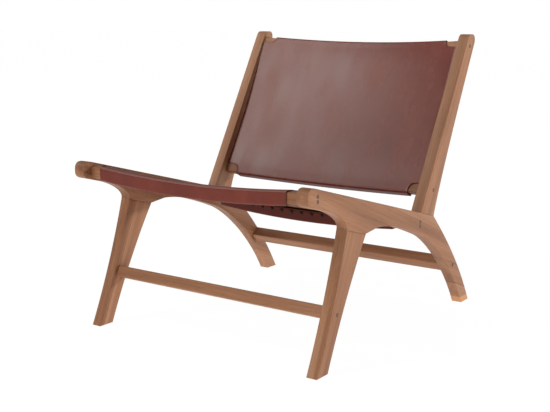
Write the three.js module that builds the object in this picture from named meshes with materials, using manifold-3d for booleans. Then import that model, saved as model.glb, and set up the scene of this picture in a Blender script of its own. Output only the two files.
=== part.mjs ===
// Leather sling lounge chair: two flat sawn side frames, four dished cross rails, two stretchers,
// and a leather seat and back stretched round the rails. Millimetres, X across, Y to the back, Z up.
// The floor is Z = 0, and the origin lies under the middle of the chair's width and depth.

import * as THREE from "three";
import { mergeVertices } from "three/addons/utils/BufferGeometryUtils.js";
import Module from "manifold-3d";

const wasm = await Module();
wasm.setup();

// Overall sizes
const overallWidth = 680;
const overallDepth = 808;
const sideThickness = 29;
const edgeEase = 2;
const seatGap = 0.3; // between two pieces that bear on each other

// Side rail: straight sloping top edge, blunt rounded nose
const railHeight = 320; // top edge at mid depth
const railSlope = 15.16; // degrees, down to the back
const railDepth = 42; // square to the slope, at the nose
const noseTopRun = 32; // rounding of the nose's top corner, along Y
const noseTopDrop = 25; // and along Z
const noseBottomRun = 15;
const noseBottomRise = 12;

// Boss under the rail that the front leg is dowelled to
const bossSetback = 79; // nose to the start of the boss's front curve
const bossFrontRun = 33; // how far that curve follows the rail
const bossFrontRise = 27; // how far it follows the leg
const jointSetback = 158; // nose to the front end of the leg joint
const jointLength = 83; // along Y
const jointDrop = 34; // rail's lower edge down to the joint

// Underside of the rail, from the boss to the arch of the rear leg, as depths below the top edge
const heelRun = 52; // end of the joint to the point where the boss has flared out
const heelDepth = 58;
const waistFrontRun = 70;
const waistFrontDepth = 41;
const waistRearRun = 70;
const waistRearDepth = 49;
const archSetback = 286; // rear foot to the spring of the arch
const archDepth = 57;
const archRun = 78; // pull of the arch's curve along the rail
const archFall = 32;

// Rear leg, in one piece with the rail
const rearFootDepth = 43;
const rearFrontRun = 57; // pull of the front curve at the foot
const rearFrontRise = 104;
const rearBackRun = 62; // pull of the rear curve at the foot
const rearBackRise = 107;
const shoulderRun = 97; // pull of the rear curve behind the post
const shoulderFall = 89;

// Front leg
const frontFootSetback = 40.6; // nose to the front of the foot
const frontFootDepth = 44.4;
const legHollow = 7; // how far both edges are drawn in at mid height

// Back post
const postSetback = 298; // rear foot to the front of the post's base
const postBaseDepth = 71; // along Y
const postLean = 29.7; // degrees from upright, front edge
const postTopHeight = 722.5;
const postRearLean = 27.8; // degrees, rear edge at the top
const postHeelLean = 18.7; // degrees, rear edge at the base
const postTopDepth = 46.5; // along Y, where the rounding of the top's rear corner starts
const postFrontRounding = 14; // top's front corner, along the edge
const postFrontRoundingRun = 7; // and along the top
const postRearRounding = 21; // top's rear corner, along Z
const postRearRoundingRun = 14; // and along the top
const postRearFullness = 3; // how far that rounding's curve is pulled to the back

// Dished rails that carry the leather
const seatRailHeight = 27;
const seatRailDepth = 21;
const seatRailDish = 17; // how far the middle lies below the ends
const frontRailSetback = 38.3; // nose to the rail's middle
const frontRailDrop = 21.6; // side rail's top edge down to the rail's middle
const rearRailSetback = 301; // rear foot to the rail's middle
const rearRailDrop = 28.5;
const lowerBackRailHeight = 29; // along the back
const topBackRailHeight = 20;
const backRailDepth = 22; // square to the back
const lowerBackRailDish = 16;
const topBackRailDish = 26;
const lowerBackRailRise = 48; // foot of the post's front edge up to the rail's middle
const lowerBackRailInset = 32.2; // post's front edge in to the rail's middle, square to the post
const topBackRailDrop = 30; // top of the post down to the rail's middle
const topBackRailInset = 18.7;

// Stretchers, square bars turned to lie along the legs
const stretcherHeight = 28;
const stretcherDepth = 32;
const frontStretcherLevel = 126;
const rearStretcherLevel = 119;

// Leather
const leatherThickness = 2.6;
const leatherSideGap = 2.6; // side frame to the leather's edge, between the rails
const bareRailEnd = 37; // side frame to the leather's edge, where it goes round a rail
const notchRadius = 20;
const seatSag = 8;
const backSag = 5;
const flapOverlap = 23; // how far a wrapped end runs past the rail's corner

// Fastenings
const dowelDiameter = 10;
const dowelLength = 44;
const dowelFit = 0.3; // radial
const dowelEndFit = 1; // hole's depth past the dowel
const dowelShares = [0.28, 0.72]; // places along a joint
const plugDiameter = 9;
const plugDepth = 6;
const plugFit = 0.25; // radial
const screwHeadDiameter = 8;
const screwHeadHeight = 3;
const screwHeadChamfer = 1.2;
const screwPointLength = 6;
const screwDiameter = 4.4;
const screwGrip = 30; // length in the end of the cross piece
const screwFit = 0.3; // radial, and past the screw's tip
const screwPitch = 11; // between the two screws of a seat rail
const cutOverrun = 5; // how far a drilled hole's tool stands out of the wood

// Fineness of the curved forms
const roundSides = 16;
const smallRoundSides = 12;
const bendSteps = 3; // facets of a leather bend, per quarter turn
const notchSteps = [1, 0.65, 0.3, 0.08]; // places down a notch's rounding, as shares of its radius
const spanSteps = 8;
const sheetColumns = 10;

// Colours
const teak = new THREE.MeshStandardMaterial({ color: 0x8f5f41, roughness: 0.55, metalness: 0 });
const plugTeak = new THREE.MeshStandardMaterial({ color: 0x7a5036, roughness: 0.6, metalness: 0 });
const beech = new THREE.MeshStandardMaterial({ color: 0xc79f74, roughness: 0.7, metalness: 0 });
const zincSteel = new THREE.MeshStandardMaterial({ color: 0xb8bcc0, roughness: 0.35, metalness: 1 });
const leather = new THREE.MeshStandardMaterial({ color: 0x6d3c36, roughness: 0.5, metalness: 0 });

// Values worked out from the sizes above; a profile point is (Y, Z)
const radians = THREE.MathUtils.degToRad;
const point = (y, z) => new THREE.Vector2(y, z);
const noseY = -overallDepth / 2;
const heelY = overallDepth / 2;
const outerX = overallWidth / 2;
const innerX = outerX - sideThickness;
const halfSpan = innerX - seatGap;
const sheetHalfWidth = innerX - leatherSideGap;
const wrapHalfWidth = innerX - bareRailEnd;
const slope = Math.tan(radians(railSlope));
const railTop = (y) => railHeight - slope * y;
const railBottom = (y) => railTop(y) - railDepth / Math.cos(radians(railSlope));
const belowTop = (y, depth) => point(y, railTop(y) - depth);
const squareToRail = point(Math.sin(radians(railSlope)), Math.cos(radians(railSlope)));

const jointFront = point(noseY + jointSetback, railBottom(noseY + jointSetback) - jointDrop);
const jointRearY = noseY + jointSetback + jointLength;
const jointRear = point(jointRearY, railBottom(jointRearY) - jointDrop);
const archSpring = belowTop(heelY - archSetback, archDepth);
const rearFootBack = point(heelY, 0);
const rearFootFront = point(heelY - rearFootDepth, 0);
const postFrontFoot = belowTop(heelY - postSetback, 0);
const postRearFoot = belowTop(heelY - postSetback + postBaseDepth, 0);
const postTangent = Math.tan(radians(postLean));
const postFrontAt = (z) => postFrontFoot.x + postTangent * (z - postFrontFoot.y);

// Curves that both a piece's outline and its neighbours' places come from
const rearLegFront = new THREE.CubicBezierCurve(
  archSpring,
  point(archSpring.x + archRun, archSpring.y - archFall),
  point(rearFootFront.x - rearFrontRun, rearFrontRise),
  rearFootFront,
);
const rearLegBack = new THREE.CubicBezierCurve(
  postRearFoot,
  point(postRearFoot.x + shoulderRun, postRearFoot.y - shoulderFall),
  point(rearFootBack.x - rearBackRun, rearBackRise),
  rearFootBack,
);
const hollowCurve = (foot, head, hollow) => {
  const chord = head.clone().sub(foot);
  const drawnIn = point(chord.y, -chord.x).setLength(2 * hollow);
  const control = foot.clone().lerp(head, 0.5).add(drawnIn);
  return new THREE.QuadraticBezierCurve(foot, control, head);
};
const legHead = (p) => p.clone().addScaledVector(squareToRail, -seatGap);
const frontLegFront = hollowCurve(point(noseY + frontFootSetback, 0), legHead(jointFront), legHollow);
const frontLegBack = hollowCurve(
  point(noseY + frontFootSetback + frontFootDepth, 0),
  legHead(jointRear),
  -legHollow,
);

// Point of a curve at a height, by halving
function atHeight(curve, z) {
  const risesAlong = curve.getPoint(1).y > curve.getPoint(0).y;
  let low = 0;
  let high = 1;
  for (let step = 0; step < 40; step += 1) {
    const middle = (low + high) / 2;
    if (curve.getPoint(middle).y < z === risesAlong) low = middle;
    else high = middle;
  }
  return curve.getPoint(low);
}

// Where each cross piece is fixed: its middle on the side frames and its turn about X
const legMiddle = (front, back, z) => atHeight(front, z).lerp(atHeight(back, z), 0.5);
const legTurn = (front, back, z) => {
  const reach = stretcherHeight / 2;
  const along = legMiddle(front, back, z + reach).sub(legMiddle(front, back, z - reach));
  return -Math.atan2(along.x, along.y);
};
const postPlace = (z, inset) => {
  const squareY = Math.cos(radians(postLean));
  const squareZ = Math.sin(radians(postLean));
  const height = z + inset * squareZ;
  return point(postFrontAt(height) + inset * squareY, height - inset * squareZ);
};
const frontRailPlace = belowTop(noseY + frontRailSetback, frontRailDrop);
const rearRailPlace = belowTop(heelY - rearRailSetback, rearRailDrop);
const lowerBackPlace = postPlace(postFrontFoot.y + lowerBackRailRise, lowerBackRailInset);
const topBackPlace = postPlace(postTopHeight - topBackRailDrop, topBackRailInset);
const backRise = topBackPlace.clone().sub(lowerBackPlace);
const backTurn = Math.atan2(backRise.y, backRise.x); // from upright rail to back rail, about X
const frontStretcherPlace = legMiddle(frontLegFront, frontLegBack, frontStretcherLevel);
const rearStretcherPlace = legMiddle(rearLegFront, rearLegBack, rearStretcherLevel);

const twoScrews = [-screwPitch / 2, screwPitch / 2];
const oneScrew = [0];
const crossPieces = [
  { name: "front_seat_rail", at: frontRailPlace, turn: 0, screws: twoScrews, carrier: "side_rail" },
  { name: "rear_seat_rail", at: rearRailPlace, turn: 0, screws: twoScrews, carrier: "side_rail" },
  { name: "lower_back_rail", at: lowerBackPlace, turn: backTurn, screws: oneScrew, carrier: "back_post" },
  { name: "top_back_rail", at: topBackPlace, turn: backTurn, screws: oneScrew, carrier: "back_post" },
  {
    name: "front_stretcher",
    at: frontStretcherPlace,
    turn: legTurn(frontLegFront, frontLegBack, frontStretcherLevel),
    screws: oneScrew,
    carrier: "front_leg",
  },
  {
    name: "rear_stretcher",
    at: rearStretcherPlace,
    turn: legTurn(rearLegFront, rearLegBack, rearStretcherLevel),
    screws: oneScrew,
    carrier: "side_rail",
  },
];

// Solids for cutting
function solidOf(geometry) {
  const bare = geometry.clone();
  bare.deleteAttribute("normal");
  bare.deleteAttribute("uv");
  const merged = mergeVertices(bare, 1e-4);
  const mesh = new wasm.Mesh({
    numProp: 3,
    vertProperties: new Float32Array(merged.attributes.position.array),
    triVerts: new Uint32Array(merged.index.array),
  });
  return new wasm.Manifold(mesh);
}

function cut(geometry, tools) {
  const made = tools.reduce((solid, tool) => solid.subtract(solidOf(tool)), solidOf(geometry));
  const mesh = made.getMesh();
  const result = new THREE.BufferGeometry();
  result.setAttribute("position", new THREE.BufferAttribute(mesh.vertProperties, 3));
  result.setIndex(new THREE.BufferAttribute(mesh.triVerts, 1));
  result.computeVertexNormals();
  return result;
}

// A round bar whose axis runs from one point to another
function roundBar(from, to, diameter, sides = roundSides) {
  const axis = to.clone().sub(from);
  const bar = new THREE.CylinderGeometry(diameter / 2, diameter / 2, axis.length(), sides);
  const turn = new THREE.Quaternion().setFromUnitVectors(new THREE.Vector3(0, 1, 0), axis.normalize());
  const middle = from.clone().lerp(to, 0.5);
  return bar.applyQuaternion(turn).translate(middle.x, middle.y, middle.z);
}

// A flat piece with eased edges: the outline lies in local XY, the thickness runs along local Z
function slab(outline, thickness, curveSegments) {
  const geometry = new THREE.ExtrudeGeometry(outline, {
    depth: thickness - 2 * edgeEase,
    bevelThickness: edgeEase,
    bevelSize: edgeEase,
    bevelOffset: -edgeEase,
    bevelSegments: 2,
    curveSegments,
  });
  return geometry.translate(0, 0, edgeEase - thickness / 2);
}

// The same piece stood up as a side frame member: outline (Y, Z), thickness across the chair
const acrossChair = new THREE.Matrix4().makeBasis(
  new THREE.Vector3(0, 1, 0),
  new THREE.Vector3(0, 0, 1),
  new THREE.Vector3(1, 0, 0),
);
function sideMember(outline, curveSegments) {
  const geometry = slab(outline, sideThickness, curveSegments);
  return geometry.applyMatrix4(acrossChair).translate(outerX - sideThickness / 2, 0, 0);
}

// Outlines of the side frame's members
function sideRailOutline() {
  const shape = new THREE.Shape();
  const along = point(1, -slope).normalize();
  const topStart = belowTop(noseY + noseTopRun, 0);
  const bottomStart = point(noseY + noseBottomRun, railBottom(noseY + noseBottomRun));
  const bossStart = point(noseY + bossSetback, railBottom(noseY + bossSetback));
  const bossPull = bossStart.clone().addScaledVector(along, bossFrontRun);
  const legUp = jointFront.clone().addScaledVector(squareToRail, bossFrontRise);
  const heel = belowTop(jointRear.x + heelRun, heelDepth);
  const waistFront = belowTop(heel.x + waistFrontRun, waistFrontDepth);
  const waistRear = belowTop(archSpring.x - waistRearRun, waistRearDepth);
  shape.moveTo(postRearFoot.x, postRearFoot.y);
  shape.lineTo(topStart.x, topStart.y);
  shape.quadraticCurveTo(noseY, railTop(noseY), noseY, railTop(noseY) - noseTopDrop);
  shape.lineTo(noseY, railBottom(noseY) + noseBottomRise);
  shape.quadraticCurveTo(noseY, railBottom(noseY), bottomStart.x, bottomStart.y);
  shape.lineTo(bossStart.x, bossStart.y);
  shape.bezierCurveTo(bossPull.x, bossPull.y, legUp.x, legUp.y, jointFront.x, jointFront.y);
  shape.lineTo(jointRear.x, jointRear.y);
  shape.lineTo(heel.x, heel.y);
  shape.bezierCurveTo(waistFront.x, waistFront.y, waistRear.x, waistRear.y, archSpring.x, archSpring.y);
  const { v1: archPull, v2: footPull } = rearLegFront;
  shape.bezierCurveTo(archPull.x, archPull.y, footPull.x, footPull.y, rearFootFront.x, rearFootFront.y);
  shape.lineTo(rearFootBack.x, rearFootBack.y);
  const { v1: shoulderPull, v2: heelPull } = rearLegBack;
  const { x: endY, y: endZ } = postRearFoot;
  shape.bezierCurveTo(heelPull.x, heelPull.y, shoulderPull.x, shoulderPull.y, endY, endZ);
  return shape;
}

function frontLegOutline() {
  const shape = new THREE.Shape();
  const { v0: footFront, v1: frontControl, v2: headFront } = frontLegFront;
  const { v0: footBack, v1: backControl, v2: headBack } = frontLegBack;
  shape.moveTo(footFront.x, footFront.y);
  shape.lineTo(footBack.x, footBack.y);
  shape.quadraticCurveTo(backControl.x, backControl.y, headBack.x, headBack.y);
  shape.lineTo(headFront.x, headFront.y);
  shape.quadraticCurveTo(frontControl.x, frontControl.y, footFront.x, footFront.y);
  return shape;
}

function backPostOutline() {
  const shape = new THREE.Shape();
  const lift = (p) => p.clone().addScaledVector(squareToRail, seatGap);
  const base = lift(postFrontFoot);
  const heel = lift(postRearFoot);
  const shoulderZ = postTopHeight - postRearRounding;
  const shoulder = point(postFrontAt(shoulderZ) + postTopDepth, shoulderZ);
  const rise = shoulder.clone().sub(heel);
  const heelTangent = Math.tan(radians(postHeelLean));
  const topTangent = Math.tan(radians(postRearLean));
  const bendZ = (rise.x - topTangent * rise.y) / (heelTangent - topTangent);
  const bend = point(heel.x + heelTangent * bendZ, heel.y + bendZ);
  const topFrontY = postFrontAt(postTopHeight);
  const frontZ = postTopHeight - postFrontRounding;
  shape.moveTo(base.x, base.y);
  shape.lineTo(heel.x, heel.y);
  shape.quadraticCurveTo(bend.x, bend.y, shoulder.x, shoulder.y);
  shape.quadraticCurveTo(
    shoulder.x + postRearFullness,
    postTopHeight,
    shoulder.x - postRearRoundingRun,
    postTopHeight,
  );
  shape.lineTo(topFrontY + postFrontRoundingRun, postTopHeight);
  shape.quadraticCurveTo(topFrontY, postTopHeight, postFrontAt(frontZ), frontZ);
  shape.lineTo(base.x, base.y);
  return shape;
}

// Dowels square to a joint on the side rail, at two places along it
function dowelAxes(start, end) {
  const half = dowelLength / 2;
  return dowelShares.map((share) => {
    const middle = start.clone().lerp(end, share);
    const low = middle.clone().addScaledVector(squareToRail, -half);
    const high = middle.clone().addScaledVector(squareToRail, half);
    const x = outerX - sideThickness / 2;
    return { low: new THREE.Vector3(x, low.x, low.y), high: new THREE.Vector3(x, high.x, high.y) };
  });
}
const legDowels = dowelAxes(jointFront, jointRear);
const postDowels = dowelAxes(postFrontFoot, postRearFoot);
const dowelJoints = [
  { name: "leg_dowel", carriers: ["side_rail", "front_leg"], axes: legDowels },
  { name: "post_dowel", carriers: ["side_rail", "back_post"], axes: postDowels },
];
function dowelHoles(carrier) {
  const bored = dowelJoints.filter((joint) => joint.carriers.includes(carrier));
  return bored.flatMap((joint) =>
    joint.axes.map(({ low, high }) => {
      const past = high.clone().sub(low).setLength(dowelEndFit);
      return roundBar(low.clone().sub(past), high.clone().add(past), dowelDiameter + 2 * dowelFit);
    }),
  );
}

// Screws through the side frames into the ends of the cross pieces, under wooden plugs
const headSeatX = outerX - plugDepth - screwHeadHeight - 2 * seatGap;
const screwTipX = innerX - screwGrip;
const screwBore = screwDiameter + 2 * screwFit;
const screwPlaces = crossPieces.flatMap(({ name, at, turn, screws, carrier }) =>
  screws.map((offset, index) => ({
    name: screws.length > 1 ? `${name}_${index + 1}` : name,
    carrier,
    y: at.x - offset * Math.sin(turn),
    z: at.y + offset * Math.cos(turn),
  })),
);
function screwHoles(carrier) {
  return screwPlaces
    .filter((screw) => screw.carrier === carrier)
    .flatMap(({ y, z }) => {
      const at = (x) => new THREE.Vector3(x, y, z);
      const bore = roundBar(at(innerX - cutOverrun), at(outerX), screwBore, smallRoundSides);
      const counterbore = roundBar(at(headSeatX), at(outerX + cutOverrun), plugDiameter + 2 * plugFit);
      return [bore, counterbore];
    });
}
function pilotHoles(screws) {
  return screws.flatMap((offset) =>
    [-1, 1].map((side) => {
      const tip = new THREE.Vector3(side * (screwTipX - screwFit), 0, offset);
      const mouth = new THREE.Vector3(side * (halfSpan + cutOverrun), 0, offset);
      return roundBar(tip, mouth, screwBore, smallRoundSides);
    }),
  );
}
function screwGeometry() {
  const headRadius = screwHeadDiameter / 2;
  const shankRadius = screwDiameter / 2;
  const shank = headSeatX + seatGap - screwTipX;
  const headTop = shank + screwHeadHeight;
  const profile = [
    point(0, 0),
    point(shankRadius, screwPointLength),
    point(shankRadius, shank),
    point(headRadius, shank),
    point(headRadius, headTop - screwHeadChamfer),
    point(headRadius - screwHeadChamfer, headTop),
    point(0, headTop),
  ];
  const turned = new THREE.LatheGeometry(profile, smallRoundSides);
  return turned.rotateZ(-Math.PI / 2).translate(screwTipX, 0, 0);
}

// Rail dished along its length: the band bends in local XZ and its breadth runs along local Y
const uprightRail = new THREE.Matrix4().makeBasis(
  new THREE.Vector3(1, 0, 0),
  new THREE.Vector3(0, 0, 1),
  new THREE.Vector3(0, -1, 0),
);
function dishedRail(height, breadth, dish, screws) {
  const top = height / 2;
  const shape = new THREE.Shape();
  shape.moveTo(-halfSpan, -top);
  shape.quadraticCurveTo(0, -top - 2 * dish, halfSpan, -top);
  shape.lineTo(halfSpan, top);
  shape.quadraticCurveTo(0, top - 2 * dish, -halfSpan, top);
  shape.closePath();
  return cut(slab(shape, breadth, 20).applyMatrix4(uprightRail), pilotHoles(screws));
}

function stretcherBar() {
  const shape = new THREE.Shape();
  const y = stretcherDepth / 2;
  const z = stretcherHeight / 2;
  const corners = [
    [-y, -z, 1, 0],
    [y, -z, 0, 1],
    [y, z, -1, 0],
    [-y, z, 0, -1],
  ];
  corners.forEach(([cornerY, cornerZ, nextY, nextZ], index) => {
    const before = point(cornerY - nextZ * edgeEase, cornerZ + nextY * edgeEase);
    const arrive = index === 0 ? "moveTo" : "lineTo";
    shape[arrive](before.x, before.y);
    shape.lineTo(cornerY + nextY * edgeEase, cornerZ + nextZ * edgeEase);
  });
  shape.closePath();
  const bar = new THREE.ExtrudeGeometry(shape, { depth: 2 * halfSpan, bevelEnabled: false });
  return cut(bar.applyMatrix4(acrossChair).translate(-halfSpan, 0, 0), pilotHoles(oneScrew));
}

// Leather sheet: a path of stations round its rails, each with a half width and a dish, swept across
// the chair. A belt goes clockwise round equal corner rounds; each straight keeps to their left.
const bendRadius = edgeEase + seatGap + leatherThickness / 2;
const leftOf = (from, to) => {
  const along = to.clone().sub(from).normalize();
  return point(-along.y, along.x);
};
function beltStations(rounds) {
  const last = rounds.length - 1;
  const sides = rounds.slice(0, last).map((round, index) => leftOf(round, rounds[index + 1]));
  return rounds.flatMap((round, index) => {
    const arrive = sides[Math.max(index - 1, 0)].angle();
    const leave = sides[Math.min(index, last - 1)].angle();
    const sweep = THREE.MathUtils.euclideanModulo(arrive - leave, 2 * Math.PI);
    const count = Math.ceil((sweep / (Math.PI / 2)) * bendSteps);
    return Array.from({ length: count + 1 }, (_, step) => {
      const angle = arrive - (sweep * step) / Math.max(count, 1);
      const side = point(Math.cos(angle), Math.sin(angle));
      const middle = round.clone().addScaledVector(side, bendRadius);
      return { middle, side, index, halfWidth: wrapHalfWidth };
    });
  });
}

// The span from one rail to the next: it lies on each rail for the run given, with a rounded notch
// there, and between the two it has its full width and is hollowed
function spanStations(start, end, sag, [nearRun, farRun]) {
  const length = start.middle.distanceTo(end.middle);
  const side = leftOf(start.middle, end.middle);
  const freeRun = length - nearRun - farRun;
  const station = (run, halfWidth) => {
    const share = THREE.MathUtils.clamp((run - nearRun) / freeRun, 0, 1);
    const middle = start.middle.clone().lerp(end.middle, run / length);
    middle.addScaledVector(side, -4 * sag * share * (1 - share));
    return { middle, side, halfWidth, share };
  };
  const notchHalfWidth = (share) =>
    wrapHalfWidth + notchRadius * (1 - Math.sqrt(1 - (1 - share) ** 2));
  const opening = notchSteps.map((share) => {
    const depth = share * Math.min(notchRadius, nearRun);
    return station(nearRun - depth, notchHalfWidth(share));
  });
  const closing = notchSteps.map((share) => {
    const depth = share * Math.min(notchRadius, farRun);
    return station(length - farRun + depth, notchHalfWidth(share));
  });
  const free = Array.from({ length: spanSteps + 1 }, (_, index) =>
    station(nearRun + (freeRun * index) / spanSteps, sheetHalfWidth),
  );
  return [...opening, ...free, ...closing.reverse()];
}

function sheetGeometry(stations) {
  const columns = sheetColumns;
  const rows = stations.length;
  const positions = [];
  for (const face of [1, -1]) {
    for (const { middle, side, halfWidth, dishAt } of stations) {
      for (let column = 0; column <= columns; column += 1) {
        const x = halfWidth * ((2 * column) / columns - 1);
        const bowed = dishAt.clone().multiplyScalar(1 - (x / halfSpan) ** 2);
        const y = middle.x + bowed.x + (face * side.x * leatherThickness) / 2;
        const z = middle.y + bowed.y + (face * side.y * leatherThickness) / 2;
        positions.push(x, y, z);
      }
    }
  }
  const corner = (face, row, column) => (face * rows + row) * (columns + 1) + column;
  const faces = [];
  const quad = (a, b, c, d) => faces.push(a, b, c, a, c, d);
  for (let row = 0; row < rows - 1; row += 1) {
    for (let column = 0; column < columns; column += 1) {
      quad(
        corner(0, row, column),
        corner(0, row, column + 1),
        corner(0, row + 1, column + 1),
        corner(0, row + 1, column),
      );
      quad(
        corner(1, row, column),
        corner(1, row + 1, column),
        corner(1, row + 1, column + 1),
        corner(1, row, column + 1),
      );
    }
    quad(corner(0, row, 0), corner(0, row + 1, 0), corner(1, row + 1, 0), corner(1, row, 0));
    quad(
      corner(0, row, columns),
      corner(1, row, columns),
      corner(1, row + 1, columns),
      corner(0, row + 1, columns),
    );
  }
  const end = rows - 1;
  for (let column = 0; column < columns; column += 1) {
    const next = column + 1;
    quad(corner(0, 0, column), corner(1, 0, column), corner(1, 0, next), corner(0, 0, next));
    quad(corner(0, end, column), corner(0, end, next), corner(1, end, next), corner(1, end, column));
  }
  const geometry = new THREE.BufferGeometry();
  geometry.setAttribute("position", new THREE.Float32BufferAttribute(positions, 3));
  geometry.setIndex(faces);
  geometry.computeVertexNormals();
  return geometry;
}

// Middles of a rail's corner rounds in the (Y, Z) plane, for a rail turned about X
function railRounds(place, height, breadth, turn) {
  const y = breadth / 2 - edgeEase;
  const z = height / 2 - edgeEase;
  const at = (offsetY, offsetZ) => point(offsetY, offsetZ).rotateAround(point(0, 0), turn).add(place);
  return { frontTop: at(-y, z), frontLow: at(-y, -z), backTop: at(y, z), backLow: at(y, -z) };
}

function seatSheet() {
  const front = railRounds(frontRailPlace, seatRailHeight, seatRailDepth, 0);
  const rear = railRounds(rearRailPlace, seatRailHeight, seatRailDepth, 0);
  const startRound = front.backLow.clone().add(point(0, flapOverlap));
  const endRound = rear.frontLow.clone().add(point(0, flapOverlap));
  const rounds = [
    startRound,
    front.backLow,
    front.frontLow,
    front.frontTop,
    front.backTop,
    rear.backTop,
    rear.backLow,
    rear.frontLow,
    endRound,
  ];
  const spanFrom = 4;
  const belt = beltStations(rounds);
  const before = belt.filter((station) => station.index <= spanFrom);
  const after = belt.filter((station) => station.index > spanFrom);
  const notches = [notchRadius, notchRadius + seatRailDepth];
  const span = spanStations(before[before.length - 1], after[0], seatSag, notches);
  const dishAt = point(0, -seatRailDish);
  return sheetGeometry([...before, ...span, ...after].map((station) => ({ ...station, dishAt })));
}

function backSheet() {
  const lean = backTurn - Math.PI / 2;
  const low = railRounds(lowerBackPlace, lowerBackRailHeight, backRailDepth, lean);
  const top = railRounds(topBackPlace, topBackRailHeight, backRailDepth, lean);
  const upBack = backRise.clone().normalize();
  const rounds = [
    low.backLow.clone().addScaledVector(upBack, flapOverlap),
    low.backLow,
    low.frontLow,
    top.frontTop,
    top.backTop,
    top.backLow,
  ];
  const spanFrom = 2;
  const belt = beltStations(rounds);
  const before = belt.filter((station) => station.index <= spanFrom);
  const after = belt.filter((station) => station.index > spanFrom);
  const notches = [lowerBackRailHeight - edgeEase, topBackRailHeight - edgeEase];
  const span = spanStations(before[before.length - 1], after[0], backSag, notches);
  const backward = point(upBack.y, -upBack.x);
  const dish = (share) => backward.clone().multiplyScalar(
    THREE.MathUtils.lerp(lowerBackRailDish, topBackRailDish, share),
  );
  return sheetGeometry([
    ...before.map((station) => ({ ...station, dishAt: dish(0) })),
    ...span.map((station) => ({ ...station, dishAt: dish(station.share) })),
    ...after.map((station) => ({ ...station, dishAt: dish(1) })),
  ]);
}

// The chair as a scene graph
const chair = new THREE.Group();

function addMesh(parent, name, geometry, material) {
  const mesh = new THREE.Mesh(geometry, material);
  mesh.name = name;
  parent.add(mesh);
  return mesh;
}

const sideMembers = [
  { name: "side_rail", outline: sideRailOutline(), curveSegments: 14 },
  { name: "front_leg", outline: frontLegOutline(), curveSegments: 10 },
  { name: "back_post", outline: backPostOutline(), curveSegments: 8 },
];
for (const { sideName, mirror } of [
  { sideName: "left", mirror: -1 },
  { sideName: "right", mirror: 1 },
]) {
  const side = new THREE.Group();
  side.scale.x = mirror;
  chair.add(side);
  for (const { name, outline, curveSegments } of sideMembers) {
    const bored = [...dowelHoles(name), ...screwHoles(name)];
    addMesh(side, `${sideName}_${name}`, cut(sideMember(outline, curveSegments), bored), teak);
  }
  for (const { name, axes } of dowelJoints) {
    axes.forEach(({ low, high }, index) => {
      addMesh(side, `${sideName}_${name}_${index + 1}`, roundBar(low, high, dowelDiameter), beech);
    });
  }
  for (const { name, y, z } of screwPlaces) {
    addMesh(side, `${sideName}_screw_${name}`, screwGeometry(), zincSteel).position.set(0, y, z);
    const plugEnd = new THREE.Vector3(outerX, y, z);
    const plugSeat = new THREE.Vector3(outerX - plugDepth, y, z);
    addMesh(side, `${sideName}_plug_${name}`, roundBar(plugSeat, plugEnd, plugDiameter), plugTeak);
  }
}

const crossForms = {
  front_seat_rail: () => dishedRail(seatRailHeight, seatRailDepth, seatRailDish, twoScrews),
  rear_seat_rail: () => dishedRail(seatRailHeight, seatRailDepth, seatRailDish, twoScrews),
  lower_back_rail: () => dishedRail(backRailDepth, lowerBackRailHeight, lowerBackRailDish, oneScrew),
  top_back_rail: () => dishedRail(backRailDepth, topBackRailHeight, topBackRailDish, oneScrew),
  front_stretcher: stretcherBar,
  rear_stretcher: stretcherBar,
};
for (const { name, at, turn } of crossPieces) {
  const piece = addMesh(chair, name, crossForms[name](), teak);
  piece.position.set(0, at.x, at.y);
  piece.rotation.x = turn;
}

addMesh(chair, "seat_leather", seatSheet(), leather);
addMesh(chair, "back_leather", backSheet(), leather);

export default chair;
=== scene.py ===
"""Leather sling lounge chair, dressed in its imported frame.

Sizes are millimetres in the part's own frame until a mesh is made, where MM turns them into metres:
X across the chair, Y from the nose of the side rails to the rear feet, Z up from the floor. Points of the
side view are (Y, Z). Finishes and the studio are in metres.
"""

import logging
import math
from dataclasses import dataclass
from enum import Enum, IntEnum
from typing import Any, Callable, Union

import bpy
import numpy as np
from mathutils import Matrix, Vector


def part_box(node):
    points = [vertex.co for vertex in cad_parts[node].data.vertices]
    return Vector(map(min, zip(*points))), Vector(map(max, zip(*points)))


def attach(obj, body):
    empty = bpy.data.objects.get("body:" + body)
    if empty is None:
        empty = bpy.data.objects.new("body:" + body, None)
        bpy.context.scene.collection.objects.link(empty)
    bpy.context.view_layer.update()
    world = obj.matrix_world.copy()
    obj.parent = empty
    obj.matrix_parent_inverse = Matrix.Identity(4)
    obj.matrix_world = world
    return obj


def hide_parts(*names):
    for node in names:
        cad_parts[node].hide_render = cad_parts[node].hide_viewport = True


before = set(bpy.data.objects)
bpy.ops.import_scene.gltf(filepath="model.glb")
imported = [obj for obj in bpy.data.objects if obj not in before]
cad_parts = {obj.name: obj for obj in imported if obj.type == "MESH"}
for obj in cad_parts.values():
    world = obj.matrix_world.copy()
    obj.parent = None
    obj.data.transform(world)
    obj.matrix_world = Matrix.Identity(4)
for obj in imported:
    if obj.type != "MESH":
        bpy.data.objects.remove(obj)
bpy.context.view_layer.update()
log = logging.getLogger("lounge_chair")

MM = 0.001
BODY = "root"
QUARTER = math.pi / 2.0
ROUND_POINTS = 7
CURVE_STEPS = 40
BAR_POINTS = 61
SAME_LINE = 0.05
SHARP_EDGE = math.radians(40.0)
PATTERN_SHIFT = (1.0, 0.37, 0.71)
WHITE = (1.0, 1.0, 1.0, 1.0)
Array = np.ndarray
Key = Union[str, int]
Point = tuple[float, float]
Triple = tuple[float, float, float]
Colour = tuple[float, float, float, float]


def srgb(*channels: int) -> Colour:
    """Linear opaque colour of three sRGB channels from 0 to 255, by the sRGB curve."""
    shares = np.array(channels) / 255.0
    return (*np.where(shares <= 0.04045, shares / 12.92, ((shares + 0.055) / 1.055) ** 2.4).tolist(), 1.0)


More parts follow.
